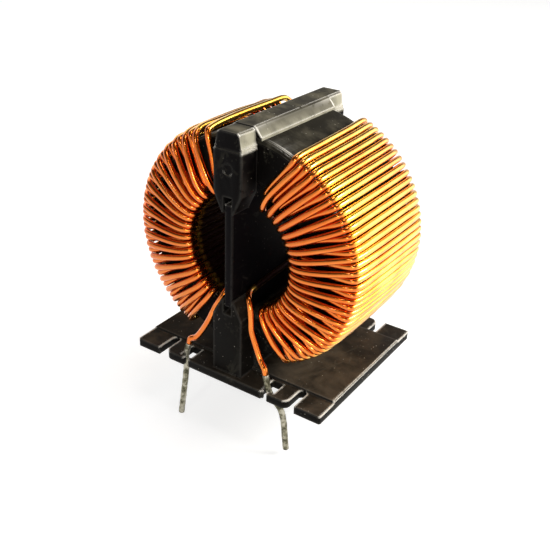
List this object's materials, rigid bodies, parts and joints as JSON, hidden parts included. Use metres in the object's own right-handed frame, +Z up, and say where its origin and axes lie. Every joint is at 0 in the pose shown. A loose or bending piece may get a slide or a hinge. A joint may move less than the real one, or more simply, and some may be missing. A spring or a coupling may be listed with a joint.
{
  "type": "common-mode choke",
  "caption": "Common-mode toroidal inductor: cased ring core on edge in a slotted plastic base, two enamelled-wire windings, a divider plate and tinned wire leads.",
  "frame": {"origin": "middle of the underside of the base, which seats on the circuit board", "axes": "+Z up from the board through the ring, +Y along the ring's axis to the rear, +X toward the right-hand winding"},
  "size_m": [0.041, 0.0298, 0.0518],
  "materials": {
    "base_plastic": "moulded black plastic, satin, dusty and scuffed",
    "case_plastic": "moulded black plastic, satin, dusty and scuffed",
    "divider_plastic": "moulded black plastic, satin",
    "bar_plastic": "moulded black plastic, satin, greyed by handling along the top",
    "ferrite": "dark grey sintered ferrite",
    "enamelled_wire": "copper under a clear orange-red enamel, glossy",
    "tinned_wire": "solder-dipped copper, dull olive grey, uneven"
  },
  "bodies": {
    "root": {"base": "base_plastic", "core_case": "case_plastic", "core_lid": "case_plastic", "core_ring": "ferrite", "divider": "divider_plastic", "top_bar": "bar_plastic", "front_arm": "bar_plastic", "left_winding": "enamelled_wire", "right_winding": "enamelled_wire", "front_left_lead": "tinned_wire", "front_right_lead": "tinned_wire", "rear_left_lead": "tinned_wire", "rear_right_lead": "tinned_wire"}
  },
  "joints": []
}
